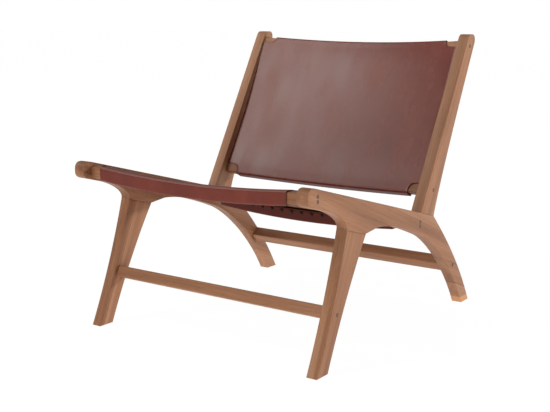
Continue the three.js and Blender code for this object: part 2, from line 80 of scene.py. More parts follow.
class Side(Enum):
    """The two side frames, by the sign of their X."""

    LEFT = -1
    RIGHT = 1


class Slot(Enum):
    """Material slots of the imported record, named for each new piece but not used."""

    FRAME = "frame_wood"
    PLUG = "plug_wood"
    STEEL = "screw_steel"
    LEATHER = "leather"


class Face(IntEnum):
    """Finish numbers of a leather sheet; the last two are the grain side in painted shade and in a painted
    highlight.
    """

    GRAIN = 0
    FLESH = 1
    CUT = 2
    FOLDED = 3
    RUBBED_HIGHLIGHT = 4


def operation(kind: str, reflected: bool = False) -> Callable[["Value", "Operand"], "Value"]:
    """An operator of Value.

    Args:
        kind: the Math node's operation.
        reflected: whether the value is the second operand.

    Returns:
        The method, which adds one Math node.
    """

    def method(self: "Value", other: "Operand") -> "Value":
        """The Math node's result."""
        sockets = {0: other, 1: self} if reflected else {0: self, 1: other}
        return self.graph.node("Math", {"operation": kind}, sockets)

    return method


class Value:
    """An output socket that takes part in arithmetic; above is 1 over an edge, most the larger of two."""

    def __init__(self, graph: "Graph", socket: bpy.types.NodeSocket | None) -> None:
        """Keep the socket and the graph it belongs to."""
        self.graph = graph
        self.socket = socket

    __add__ = operation("ADD")
    __radd__ = operation("ADD", reflected=True)
    __sub__ = operation("SUBTRACT")
    __rsub__ = operation("SUBTRACT", reflected=True)
    __mul__ = operation("MULTIPLY")
    __rmul__ = operation("MULTIPLY", reflected=True)
    __pow__ = operation("POWER")
    above = operation("GREATER_THAN")
    most = operation("MAXIMUM")

    def smooth(self, low: float, high: float) -> "Value":
        """0 at low, 1 at high, with an eased rise between them."""
        settings = {"interpolation_type": "SMOOTHSTEP"}
        return self.graph.node("MapRange", settings, {0: self, 1: low, 2: high})


Operand = Union[Value, float]


class Graph:
    """A material's or world's node tree, built from plain calls."""

    def __init__(self, tree: bpy.types.NodeTree) -> None:
        """Start from an empty tree."""
        self.tree = tree
        self.tree.nodes.clear()

    def node(
        self,
        kind: str,
        settings: dict[str, Any] | None = None,
        sockets: dict[Key, Any] | None = None,
        output: Key = 0,
    ) -> Value:
        """Add a node.

        Args:
            kind: the node's type name after ShaderNode.
            settings: properties, set first; "stops" fills a colour ramp.
            sockets: input name or number to a Value that is linked or a constant that is set.
            output: name or number of the output that is wanted.

        Returns:
            The output, empty where the node has none.
        """
        made = self.tree.nodes.new(f"ShaderNode{kind}")
        for key, value in (settings or {}).items():
            if key == "stops":
                self._fill_ramp(made.color_ramp, value)
            else:
                setattr(made, key, value)
        for key, value in (sockets or {}).items():
            if isinstance(value, Value):
                self.tree.links.new(value.socket, made.inputs[key])
            else:
                made.inputs[key].default_value = value
        return Value(self, made.outputs[output] if made.outputs else None)

    @staticmethod
    def _fill_ramp(ramp: bpy.types.ColorRamp, stops: tuple[tuple[float, Colour], ...]) -> None:
        """Put stops into a new colour ramp, which has two.

        Args:
            ramp: the ramp.
            stops: place and colour of each, in order.
        """
        while len(ramp.elements) < len(stops):
            ramp.elements.new(1.0)
        for element, (place, colour) in zip(ramp.elements, stops):
            element.position = place
            element.color = colour

    def place(self) -> Value:
        """Object coordinates, which are the part's own frame in metres."""
        return self.node("TexCoord", output="Object")

    def turned(self, place: Value, angles: Triple, shift: float) -> Value:
        """Coordinates in a frame turned by the angles, moved away by shift."""
        sockets = {"Vector": place, "Location": [shift * way for way in PATTERN_SHIFT], "Rotation": angles}
        return self.node("Mapping", {"vector_type": "TEXTURE"}, sockets)

    def swayed(self, place: Value, sway: Value) -> Value:
        """Coordinates moved by sway along the second and third axes."""
        vector = self.node("CombineXYZ", None, {1: sway, 2: sway})
        return self.node("VectorMath", {"operation": "ADD"}, {0: place, 1: vector})

    def axis(self, place: Value, number: int) -> Value:
        """One coordinate of a vector."""
        return self.node("SeparateXYZ", None, {0: place}, number)

    def cells(self, place: Value, scale: float) -> Value:
        """Distance to the nearest of a scatter of points."""
        return self.node("TexVoronoi", None, {"Vector": place, "Scale": scale}, "Distance")

    def ramp(self, share: Value, *stops: tuple[float, Colour]) -> Value:
        """Colours along a share from 0 to 1."""
        return self.node("ValToRGB", {"stops": stops}, {0: share}, "Color")

    def mix(self, share: Operand, first: Any, second: Any, blend: str = "MIX") -> Value:
        """Two colours mixed by a share."""
        settings = {"data_type": "RGBA", "blend_type": blend}
        return self.node("Mix", settings, {0: share, 6: first, 7: second}, 2)

    def bump(self, height: Value, strength: float, distance: float) -> Value:
        """A normal from a height in units of distance metres."""
        return self.node("Bump", None, {"Height": height, "Strength": strength, "Distance": distance})

    def ray(self, kind: str) -> Value:
        """1 for rays of a kind, 0 for others."""
        return self.node("LightPath", output=f"Is {kind} Ray")

    def seen(self, gloss: float) -> Value:
        """1 for rays from the camera or through glass, gloss for reflections, 0 for light on the object."""
        return self.ray("Camera").most(self.ray("Transmission")).most(self.ray("Glossy") * gloss)

    def surface(self, **sockets: Any) -> None:
        """End the tree in a Principled shader; a socket's spaces are written as underscores."""
        named = {key.replace("_", " "): value for key, value in sockets.items()}
        self.node("OutputMaterial", None, {"Surface": self.node("BsdfPrincipled", None, named)})


@dataclass(frozen=True)
class Layer:
    """A layer of fractal noise: waves a metre along each axis, octaves, and the share of each in the next.

    weights are what the layer adds to a finish's tone, roughness and relief.
    """

    waves: Triple
    octaves: float = 2.0
    share: float = 0.5
    weights: Triple = (0.0, 0.0, 0.0)

    def noise(self, g: Graph, place: Value) -> Value:
        """The layer's noise at a place.

        Args:
            g: the material's graph.
            place: coordinates.

        Returns:
            The noise, from -0.5 to 0.5.
        """
        wave = g.node("VectorMath", {"operation": "MULTIPLY"}, {0: place, 1: self.waves})
        sockets = {"Vector": wave, "Scale": 1.0, "Detail": self.octaves, "Roughness": self.share}
        return g.node("TexNoise", None, sockets, "Fac") - 0.5


def layered(noises: list[tuple[Layer, Value]]) -> list[Value]:
    """Noises added up by their layers' weights.

    Args:
        noises: each layer and its noise.

    Returns:
        The sums for tone, roughness and relief.
    """
    sums = []
    for kind in range(3):
        terms = [noise * layer.weights[kind] for layer, noise in noises if layer.weights[kind]]
        sums.append(sum(terms[1:], terms[0]))
    return sums


@dataclass(frozen=True)
class Finish:
    """A named finish; each kind paints its own graph."""

    name: str

    def paint(self, g: Graph) -> None:
        """Add the finish's nodes."""
        raise NotImplementedError

    def material(self) -> bpy.types.Material:
        """Make a material of the finish.

        Returns:
            The material.
        """
        made = bpy.data.materials.new(self.name)
        made.use_nodes = True
        self.paint(Graph(made.node_tree))
        return made


@dataclass(frozen=True)
class Timber(Finish):
    """Oiled straight-grained hardwood.

    The pattern's own X runs along the grain, by angles. lines are the places across the grain (its Z) where
    boards or bands of colour meet; tones, from -1 dark to 1 light, are theirs in order, some of them
    painted shade (see LOOKS), and seams say how dark each glue line is, which shows most where Y is past
    seam_opens.
    Below the height pale_below the wood is paler, towards bare. Over end_depth from the Y soaked_end it
    is darker by soak, or paler where that is below 0.
    """

    angles: Triple
    shift: float
    tone: float = 0.0
    lines: tuple[float, ...] = ()
    tones: tuple[float, ...] = ()
    seams: tuple[float, ...] = ()
    pale_below: float = 0.0
    soaked_end: float = 0.0
    soak: float = 0.0
    end_depth: float = 0.016
    pale_fade: float = 0.002
    paleness: float = 0.85
    # What shows of a glue line before it opens, and squares of millimetres over which it fades.
    seam_opens: Point = (0.22, 0.3)
    seam_closed: float = 0.15
    seam_fade: Point = (0.2, 1.1)
    tone_step: float = 0.25
    # How far the grain and the lines wander, and what pores add to tone, roughness and relief.
    sway: float = 0.012
    line_sway: float = 0.002
    pore_edge: Point = (0.16, 0.24)
    pore_weights: Triple = (0.35, 0.15, 0.5)
    wander: Layer = Layer((1.6, 9.0, 9.0))
    bands: Layer = Layer((2.2, 55.0, 55.0), 3.0, weights=(0.65, 0.0, 0.0))
    streaks: Layer = Layer((7.0, 330.0, 330.0), 4.0, 0.65, (0.46, 0.2, 0.4))
    fibres: Layer = Layer((30.0, 1500.0, 1500.0), weights=(0.16, 0.0, 0.3))
    patches: Layer = Layer((3.0, 14.0, 14.0), 1.0, weights=(0.5, 0.0, 0.0))
    pores: Layer = Layer((55.0, 900.0, 900.0), 1.0)
    roughness: float = 0.56
    relief: Point = (0.18, 0.0004)
    stops: Triple = (0.12, 0.5, 0.88)
    dark: Colour = srgb(114, 70, 43)
    middle: Colour = srgb(162, 111, 76)
    light: Colour = srgb(195, 148, 114)
    seam: Colour = srgb(88, 54, 36)
    bare: Colour = srgb(216, 157, 106)

    def _boards(self, across: Value) -> tuple[Value, Value]:
        """What sets the boards apart.

        Args:
            across: place across the grain.

        Returns:
            The board's tone, and the shade of a glue line, by the square of the distance in millimetres.
        """
        board: Operand = self.tone_step * self.tones[0]
        seam: Operand = 0.0
        for line, shade, before, after in zip(self.lines, self.seams, self.tones, self.tones[1:]):
            board = across.above(line) * (self.tone_step * (after - before)) + board
            near = 1.0 - (((across - line) * (1.0 / MM)) ** 2).smooth(*self.seam_fade)
            seam = (near * shade).most(seam)
        return board, seam

    def paint(self, g: Graph) -> None:
        """Slow bands, fine streaks, fibres and short pores along a wandering grain, and the boards.

        Args:
            g: the material's graph.
        """
        place = g.place()
        grain = g.turned(place, self.angles, self.shift)
        wander = self.wander.noise(g, grain)
        bent = g.swayed(grain, wander * self.sway)
        layers = [(layer, layer.noise(g, bent)) for layer in (self.bands, self.streaks, self.fibres)]
        layers.append((self.patches, self.patches.noise(g, grain)))
        tone, rough, relief = layered(layers)
        pores = self.pores.noise(g, bent).smooth(*self.pore_edge)
        pore_tone, pore_rough, pore_depth = self.pore_weights
        tone = tone + (0.5 + self.tone_step * self.tone)
        if self.lines:
            board, seam = self._boards(g.axis(grain, 2) + wander * self.line_sway)
            tone = tone + board
        if self.soak:
            dry = g.axis(place, 1).smooth(self.soaked_end, self.soaked_end + self.end_depth)
            tone = tone + (dry - 1.0) * self.soak
        colour = g.ramp(tone, *zip(self.stops, (self.dark, self.middle, self.light)))
        colour = g.mix(pores * pore_tone, colour, self.dark, "MULTIPLY")
        if self.lines:
            opened = g.axis(place, 1).smooth(*self.seam_opens) * (1.0 - self.seam_closed)
            colour = g.mix(seam * (opened + self.seam_closed), colour, self.seam)
        # Below pale_below the colour is mixed towards bare, so the foot is paler towards the floor.
        if self.pale_below:
            low, high = self.pale_below - self.pale_fade, self.pale_below + self.pale_fade
            bare = (1.0 - g.axis(place, 2).smooth(low, high)) * self.paleness
            colour = g.mix(bare, colour, self.bare)
        g.surface(
            Base_Color=colour,
            Roughness=rough + pores * pore_rough + self.roughness,
            Specular_IOR_Level=0.25,
            Coat_Weight=0.3,
            Coat_Roughness=0.5,
            Normal=g.bump(relief - pores * pore_depth, *self.relief),
        )


@dataclass(frozen=True)
class TwoTone(Finish):
    """A finish between two colours, which a fine and a slow layer of noise mix.

    stops are the tones of the two colours, middle and roughness the levels that the noise swings about, and
    relief the bump's strength and depth.
    """

    dark: Colour
    light: Colour
    fine: Layer
    slow: Layer
    stops: Point
    middle: float
    roughness: float
    relief: Point

    def paint(self, g: Graph) -> None:
        """Colour by both layers, gloss and bump by the fine one.

        Args:
            g: the material's graph.
        """
        place = g.place()
        tone, rough, height = layered([(layer, layer.noise(g, place)) for layer in (self.fine, self.slow)])
        colour = g.ramp(tone + self.middle, *zip(self.stops, (self.dark, self.light)))
        g.surface(Base_Color=colour, Roughness=rough + self.roughness, Normal=g.bump(height, *self.relief))


@dataclass(frozen=True)
class EndGrain(TwoTone):
    """Sawn end of a wooden plug or dowel: fine dots over slow rings, with the grain along X."""

    fine: Layer = Layer((40.0, 900.0, 900.0), 3.0, 0.6, (0.6, 0.2, 1.0))
    slow: Layer = Layer((3.0, 60.0, 160.0), weights=(0.5, 0.0, 0.0))
    stops: Point = (0.3, 0.75)
    middle: float = 0.55
    roughness: float = 0.6
    relief: Point = (0.2, 0.0002)


@dataclass(frozen=True)
class Suede(TwoTone):
    """Flesh side of the leather, or its cut edge: a matt, fibrous nap on slow drifts of colour."""

    fine: Layer = Layer((900.0, 900.0, 900.0), 3.0, 0.7, (0.45, 0.12, 1.0))
    slow: Layer = Layer((18.0, 18.0, 18.0), 3.0, 0.6, (0.55, 0.0, 0.0))
    stops: Point = (0.25, 0.75)
    middle: float = 0.5
    roughness: float = 0.91
    relief: Point = (0.5, 0.0005)


@dataclass(frozen=True)
class Hide(Finish):
    """Waxed grain side of the leather: tone from -1 deep to 1 pale, its roughness, and its reflection."""

    tone: float = 0.0
    gloss: float = 0.27
    shine: float = 0.27
    deep: Colour = srgb(98, 40, 29)
    middle: Colour = srgb(122, 54, 41)
    pale: Colour = srgb(146, 74, 58)
    layers: tuple[Layer, ...] = (
        Layer((9.0, 6.0, 6.0), 3.0, weights=(0.5, 0.15, 0.0)),
        Layer((24.0, 8.0, 8.0), weights=(0.3, 0.13, 0.0)),
        Layer((42.0, 42.0, 42.0), 4.0, 0.6, (0.3, 0.05, 0.6)),
        Layer((420.0, 420.0, 420.0), 3.0, 0.6, (0.15, 0.04, 0.5)),
    )
    pebble: Point = (620.0, 0.7)
    relief: Point = (0.07, 0.0003)
    stops: Triple = (0.15, 0.5, 0.9)

    def paint(self, g: Graph) -> None:
        """Clouds, smudges, mottling and a fine grain change colour and gloss; pebbles add to the bump.

        Args:
            g: the material's graph.
        """
        place = g.place()
        tone, rough, height = layered([(layer, layer.noise(g, place)) for layer in self.layers])
        height = g.cells(place, self.pebble[0]) * self.pebble[1] + height
        stops = zip(self.stops, (self.deep, self.middle, self.pale))
        g.surface(
            Base_Color=g.ramp(tone + (0.5 + self.tone), *stops),
            Roughness=rough + self.gloss,
            Specular_IOR_Level=self.shine,
            Normal=g.bump(height, *self.relief),
        )


@dataclass(frozen=True)
class Metal(Finish):
    """Nail heads and screws: a dark or bright metal, whose wear swings about the roughness gloss."""

    dull: Colour
    bright: Colour
    gloss: float
    wear: Layer = Layer((300.0, 300.0, 300.0), 3.0, 0.6, (1.0, 0.2, 0.0))

    def paint(self, g: Graph) -> None:
        """Colour from dull to bright, and gloss, by the wear.

        Args:
            g: the material's graph.
        """
        wear = self.wear.noise(g, g.place())
        colour = g.mix(wear + 0.5, self.dull, self.bright)
        g.surface(Base_Color=colour, Metallic=1.0, Roughness=wear * self.wear.weights[1] + self.gloss)


@dataclass(frozen=True)
class LitFloor(Finish):
    """A glowing white floor, darker by shade under the chair; what is seen of it is almost plain white.

    shaded are the squares of the distances from the middle between which the shade fades out.
    """

    glow: float = 0.72
    shade: float = 0.15
    shaded: Point = (0.03, 0.5)
    paper: Colour = (0.9, 0.9, 0.9, 1.0)
    plainness: float = 0.93

    def paint(self, g: Graph) -> None:
        """Paper that glows for the light on the object, white for the rays that see it.

        Args:
            g: the material's graph.
        """
        place = g.place()
        away = g.axis(place, 0) ** 2.0 + g.axis(place, 1) ** 2.0
        glow = self.glow * (1.0 - self.shade * (1.0 - away.smooth(*self.shaded)))
        lit = g.node("Emission", None, {"Color": glow, "Strength": 1.0})
        paper = g.node("BsdfDiffuse", None, {"Color": self.paper})
        bright = g.node("AddShader", None, {0: paper, 1: lit})
        plain = g.node("Emission", None, {"Color": WHITE, "Strength": 1.0})
        mixed = g.node("MixShader", None, {0: g.seen(1.0) * self.plainness, 1: bright, 2: plain})
        g.node("OutputMaterial", None, {"Surface": mixed})


def bezier(controls: Array, steps: int) -> Array:
    """Points of a Bezier curve: each control point times its Bernstein weight, summed.

    Args:
        controls: control points, one a row.
        steps: how many equal steps of the parameter.

    Returns:
        steps + 1 points.
    """
    degree = len(controls) - 1
    share = np.linspace(0.0, 1.0, steps + 1)[:, None]
    power = np.arange(degree + 1)[None, :]
    ways = np.array([math.comb(degree, term) for term in range(degree + 1)], float)
    return (ways * share**power * (1.0 - share) ** (degree - power)) @ controls


def turning(angle: float) -> Array:
    """Matrix that turns rows (Y, Z) by an angle in radians, from Y towards Z."""
    return np.array([[math.cos(angle), math.sin(angle)], [-math.sin(angle), math.cos(angle)]])


def circle(sides: int) -> Array:
    """Angles of a circle's equal sides, in radians."""
    return np.linspace(0.0, 4.0 * QUARTER, sides + 1)[:-1]


def unit(vectors: Array) -> Array:
    """Vectors along the last axis, made one long."""
    return vectors / np.linalg.norm(vectors, axis=-1, keepdims=True)


def moved(point: Point, step: Any) -> Point:
    """A point of the side view, moved by a step (Y, Z)."""
    return (float(point[0] + step[0]), float(point[1] + step[1]))


def hollowed(low: Point, high: Point, hollow: float) -> Point:
    """Control point that draws a straight edge in by hollow at its middle.

    Args:
        low: the edge's lower end.
        high: its upper end.
        hollow: distance towards the chord's right.

    Returns:
        The point, twice as far from the chord's middle.
    """
    chord = np.subtract(high, low)
    square = unit(np.array([chord[1], -chord[0]]))
    return moved(low, chord / 2.0 + 2.0 * hollow * square)


def grid_quads(rings: int, around: int) -> Array:
    """Faces between the rings of a grid that closes round each ring.

    Args:
        rings: how many rings.
        around: points in each.

    Returns:
        Rows of four point numbers.
    """
    ring = np.arange(rings - 1)[:, None] * around
    here = np.arange(around)[None, :]
    after = (here + 1) % around
    corners = [ring + here, ring + after, ring + around + after, ring + around + here]
    return np.stack(corners, axis=-1).reshape(-1, 4)


def signed_volume(points: Array, quads: Array) -> float:
    """Volume that quads enclose: a sixth of the triple products of their triangles.

    Args:
        points: corner points.
        quads: rows of four point numbers.

    Returns:
        The volume, negative where the quads face inwards.
    """
    a, b, c, d = (points[quads[:, corner]] for corner in range(4))
    first = np.einsum("ij,ij->i", a, np.cross(b, c))
    second = np.einsum("ij,ij->i", a, np.cross(c, d))
    return float((first + second).sum() / 6.0)


@dataclass
class Shell:
    """A closed surface: points in millimetres, quads, flat end polygons, and finish numbers of both."""

    points: Array
    quads: Array
    ends: list[Array]
    quad_finish: Array
    end_finish: int

    @classmethod
    def of_grids(cls, grids: Array, side_finish: int = 0) -> "Shell":
        """Equal closed grids, one after another, with flat ends.

        Args:
            grids: points by grid, ring and place round the ring.
            side_finish: finish number of the quads; the ends have 0.

        Returns:
            All grids as one surface.
        """
        count, rings, around, _ = grids.shape
        each = rings * around
        starts = np.arange(count) * each
        quads = (grid_quads(rings, around)[None] + starts[:, None, None]).reshape(-1, 4)
        caps = (np.arange(each - around, each), np.arange(around)[::-1])
        ends = [cap + start for start in starts for cap in caps]
        return cls(grids.reshape(-1, 3), quads, ends, np.full(len(quads), side_finish), 0)

    def piece(self, name: str, finishes: list[bpy.types.Material], slot: Slot) -> bpy.types.Object:
        """Make the mesh object, facing out, on the chair's body.

        Args:
            name: the piece's name.
            finishes: materials, in the order of the finish numbers.
            slot: not used.

        Returns:
            The object, at the origin.
        """
        way = -1 if signed_volume(self.points, self.quads) < 0.0 else 1
        faces = self.quads[:, ::way].tolist() + [end[::way].tolist() for end in self.ends]
        mesh = bpy.data.meshes.new(name)
        mesh.from_pydata((self.points * MM).tolist(), [], faces)
        finish = np.append(self.quad_finish, np.full(len(self.ends), self.end_finish))
        for material in finishes:
            mesh.materials.append(material)
        mesh.polygons.foreach_set("material_index", finish.astype(np.int32))
        mesh.polygons.foreach_set("use_smooth", np.arange(len(faces)) < len(self.quads))
        mesh.update()
        mesh.set_sharp_from_angle(angle=SHARP_EDGE)
        made = bpy.data.objects.new(name, mesh)
        bpy.context.scene.collection.objects.link(made)
        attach(made, BODY)
        log.info("%s: %d faces", name, len(faces))
        return made


@dataclass(frozen=True)
class Edge:
    """One edge of a board's outline: Bezier control points, and how far its arris is eased."""

    controls: tuple[Point, ...]
    ease: float

    def steps(self) -> int:
        """A straight edge is one step, a curved one many."""
        return 1 if len(self.controls) == 2 else CURVE_STEPS


def mitres(outline: Array, ease: Array) -> Array:
    """Insets of a closed outline's points.

    The inset d of a point solves d.n = ease for the inward sides n of the edges before and after it, so
    that arrises meet in mitres. Where the two lie almost in line, d is their mean side times the mean ease.

    Args:
        outline: points, anticlockwise.
        ease: inset of the edge after each point.

    Returns:
        One vector a point.
    """
    along = unit(np.roll(outline, -1, axis=0) - outline)
    after = np.stack([-along[:, 1], along[:, 0]], axis=1)
    before, ease_before = np.roll(after, 1, axis=0), np.roll(ease, 1)
    cross = before[:, 0] * after[:, 1] - before[:, 1] * after[:, 0]
    bends = np.abs(cross) > SAME_LINE
    divisor = np.where(bends, cross, 1.0)
    inset_y = (ease_before * after[:, 1] - ease * before[:, 1]) / divisor
    inset_z = (ease * before[:, 0] - ease_before * after[:, 0]) / divisor
    mean = unit(before + after) * ((ease_before + ease) / 2.0)[:, None]
    return np.where(bends[:, None], np.stack([inset_y, inset_z], axis=1), mean)


def board_shell(edges: list[Edge], low_x: float, high_x: float, arris: float) -> Shell:
    """A flat board: a quarter-round arris profile carried round a closed outline, with two flat faces.

    A ring at angle a of the quarter round lies inwards by 1 - sin a of the point's mitre, and across by
    arris times 1 - cos a.

    Args:
        edges: the outline's edges in order, anticlockwise seen from +X.
        low_x: lower face.
        high_x: upper face.
        arris: depth of the rounding, across the board.

    Returns:
        The closed surface.
    """
    outline = np.concatenate([bezier(np.array(edge.controls), edge.steps())[:-1] for edge in edges])
    ease = np.concatenate([np.full(edge.steps(), edge.ease) for edge in edges])
    angle = np.linspace(0.0, QUARTER, ROUND_POINTS)
    share = 1.0 - np.sin(angle)
    share = np.append(share, share[::-1])
    rise = arris * (1.0 - np.cos(angle))
    points = np.empty((len(share), len(outline), 3))
    points[..., 0] = np.append(low_x + rise, high_x - rise[::-1])[:, None]
    points[..., 1:] = outline + share[:, None, None] * mitres(outline, ease)
    return Shell.of_grids(points[None])


@dataclass(frozen=True)
class Bar:
    """A cross piece along X: height in the dish's direction, breadth and dish; turn about X; place."""

    name: str
    size: Triple
    turn: float
    at: Array
    tone: float = 0.0

    def shell(self, half: float, arris: float) -> Shell:
        """A rounded rectangle carried along a parabola, then turned about X and placed.

        The middle lies dish (1 - (x / half)^2) below the ends in the bar's own upright direction.

        Args:
            half: half length.
            arris: radius of the long edges.

        Returns:
            The closed surface.
        """
        height, breadth, dish = self.size
        angle = np.linspace(0.0, QUARTER, ROUND_POINTS) + QUARTER * np.arange(4)[:, None]
        signs = np.array([[1, 1], [-1, 1], [-1, -1], [1, -1]])
        corner = signs * (np.array([breadth, height]) / 2.0 - arris)
        section = corner[:, None] + arris * np.stack([np.cos(angle), np.sin(angle)], axis=-1)
        section = section.reshape(-1, 2)
        x = np.linspace(-half, half, BAR_POINTS)[:, None]
        own = np.repeat(section[None], BAR_POINTS, axis=0)
        own[..., 1] -= dish * (1.0 - (x / half) ** 2)
        points = np.empty((*own.shape[:2], 3))
        points[..., 0] = x
        points[..., 1:] = own @ turning(self.turn) + self.at
        return Shell.of_grids(points[None])


@dataclass(frozen=True)
class Layout:
    """The chair's side view: places and sizes that the frame, rails and leather share.

    A rail's size is its height in the dish's direction, its breadth and its dish. Seat rails are placed by
    their run from nose or heel and their depth under the side rail's top edge, back rails by their height
    from the post's foot or top and their inset from its front edge.
    """

    outer_x: float = 340.0
    board: float = 29.0
    nose: float = -404.0
    heel: float = 404.0
    gap: float = 0.3
    seam: float = 0.02
    rail_height: float = 320.0
    rail_slope: float = math.tan(math.radians(15.16))
    rail_depth: float = 43.51
    post_foot: float = 106.0
    post_depth: float = 71.0
    post_lean: float = math.tan(math.radians(29.7))
    post_top: float = 722.5
    seat_rail: Triple = (27.0, 21.0, 17.0)
    low_back_rail: Triple = (22.0, 29.0, 16.0)
    top_back_rail: Triple = (22.0, 20.0, 26.0)
    front_rail_from: Point = (38.3, 21.6)
    rear_rail_from: Point = (301.0, 28.5)
    low_back_from: Point = (48.0, 32.2)
    top_back_from: Point = (30.0, 18.7)

    @property
    def inner_x(self) -> float:
        """Inner face of the right side frame."""
        return self.outer_x - self.board

    @property
    def half_span(self) -> float:
        """Half length of a cross piece."""
        return self.inner_x - self.gap

    def below_top(self, y: float, depth: float = 0.0) -> Point:
        """Point at a depth below the side rail's top edge."""
        return (y, self.rail_height - self.rail_slope * y - depth)

    def post_front(self, z: float) -> float:
        """Y of the post's front edge at a height."""
        return self.post_foot + self.post_lean * (z - self.below_top(self.post_foot)[1])

    def on_post(self, z: float, inset: float) -> Array:
        """Point at a height, a distance in from the post's front edge, square to it."""
        lean = math.atan(self.post_lean)
        return np.array([self.post_front(z + inset * math.sin(lean)) + inset * math.cos(lean), z])

    @property
    def front_rail(self) -> Array:
        """Middle of the front seat rail's ends."""
        return np.array(self.below_top(self.nose + self.front_rail_from[0], self.front_rail_from[1]))

    @property
    def rear_rail(self) -> Array:
        """Middle of the rear seat rail's ends."""
        return np.array(self.below_top(self.heel - self.rear_rail_from[0], self.rear_rail_from[1]))

    @property
    def low_back(self) -> Array:
        """Middle of the lower back rail's ends."""
        rise, inset = self.low_back_from
        return self.on_post(self.below_top(self.post_foot)[1] + rise, inset)

    @property
    def top_back(self) -> Array:
        """Middle of the top back rail's ends."""
        return self.on_post(self.post_top - self.top_back_from[0], self.top_back_from[1])

    @property
    def up_back(self) -> Array:
        """Unit vector up the back, from rail to rail."""
        return unit(self.top_back - self.low_back)

    @property
    def back_turn(self) -> float:
        """Turn about X from an upright seat rail to a back rail."""
        return math.atan2(self.up_back[1], self.up_back[0])

    @property
    def squared(self) -> Array:
        """Unit vector square to the side rail's top edge, upwards."""
        return unit(np.array([self.rail_slope, 1.0]))


@dataclass(frozen=True)
class SideLook:
    """One side's board colours in Timber's words, partly painted shade; leg_line parts the leg's two bands
    of colour.
    """

    seed: float
    panel_tones_and_shade: tuple[float, ...]
    panel_seams: Triple
    pale_below: float
    soak: float
    leg_line: float
    leg_tones_and_shadow: Point
    post_tone: float


LOOKS = {
    # The left panel's darker tones after its first line paint the shade that falls on its inner face under
    # the seat and above the front rail; its negative soak takes that painted shade off the nose end. The
    # left leg's two bands paint the shadow that the right leg casts on it, paler where it is lit.
    Side.LEFT: SideLook(
        seed=1.7,
        panel_tones_and_shade=(0.2, -0.45, -0.8, -0.2),
        panel_seams=(0.1, 0.1, 0.1),
        pale_below=0.0,
        soak=-0.1,
        leg_line=0.404,
        leg_tones_and_shadow=(0.5, -0.25),
        post_tone=0.3,
    ),
    Side.RIGHT: SideLook(
        seed=4.9,
        panel_tones_and_shade=(0.2, -0.25, -0.32, 0.25),
        panel_seams=(0.75, 0.75, 0.1),
        pale_below=0.017,
        soak=0.08,
        leg_line=0.5715,
        leg_tones_and_shadow=(-0.1, 0.5),
        post_tone=0.22,
    ),
}


